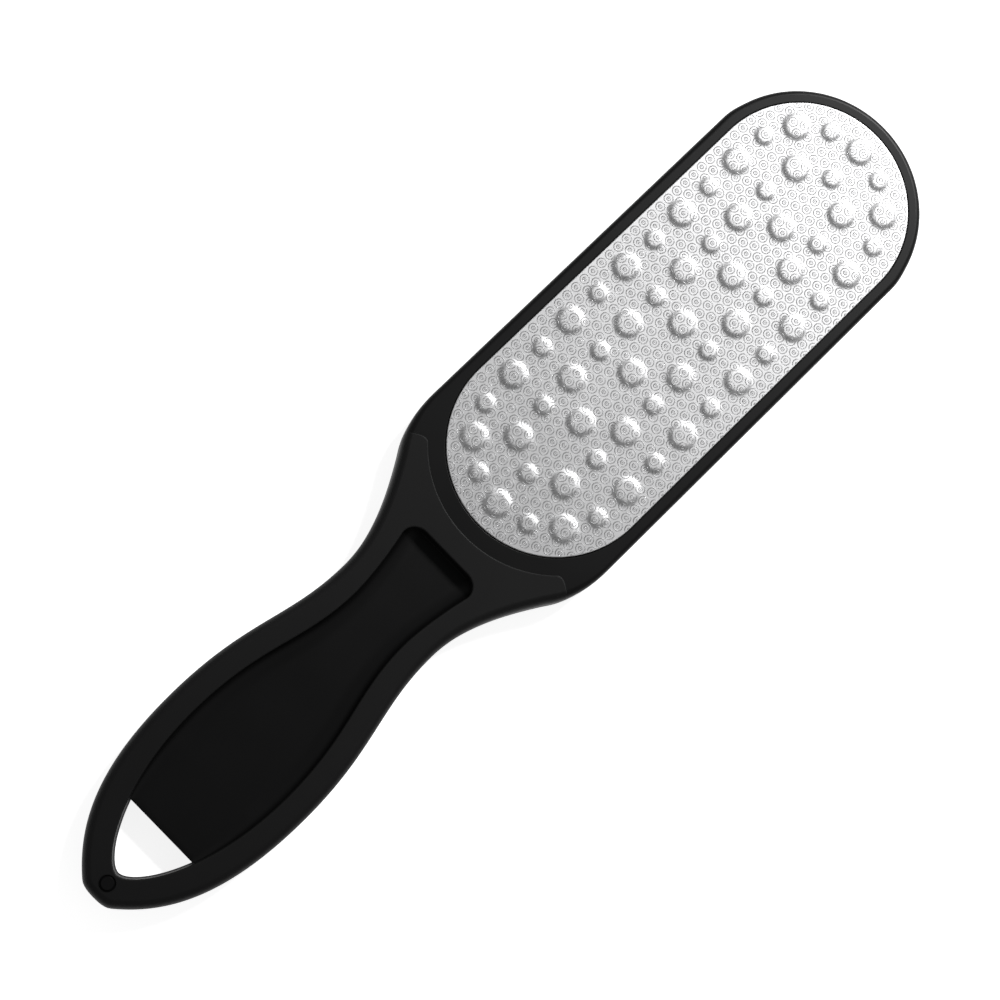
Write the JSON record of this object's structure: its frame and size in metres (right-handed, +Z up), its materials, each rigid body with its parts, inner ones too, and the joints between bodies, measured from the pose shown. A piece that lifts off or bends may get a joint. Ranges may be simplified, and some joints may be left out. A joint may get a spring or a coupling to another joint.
{
  "type": "foot file",
  "caption": "Paddle-shaped foot file with a domed metal file plate, a flat fine plate on the back and a soft-touch handle with thumb pockets and a hang hole.",
  "frame": {"origin": "centre of the bounding box on the plane that the tool lies on", "axes": "+X along the length towards the head's tip, +Z up through the domed plate, Y across the width"},
  "size_m": [0.2584, 0.0574, 0.0105],
  "materials": {
    "hard_plastic": "fine satin black",
    "soft_plastic": "soft-touch matt black",
    "file_plate": "satin nickel with a fine ring texture",
    "film": "adhesive film"
  },
  "bodies": {
    "root": {"handle_core": "hard_plastic", "soft_grip": "soft_plastic", "front_plate": "file_plate", "rear_plate": "file_plate", "front_adhesive": "film", "rear_adhesive": "film"}
  },
  "joints": []
}
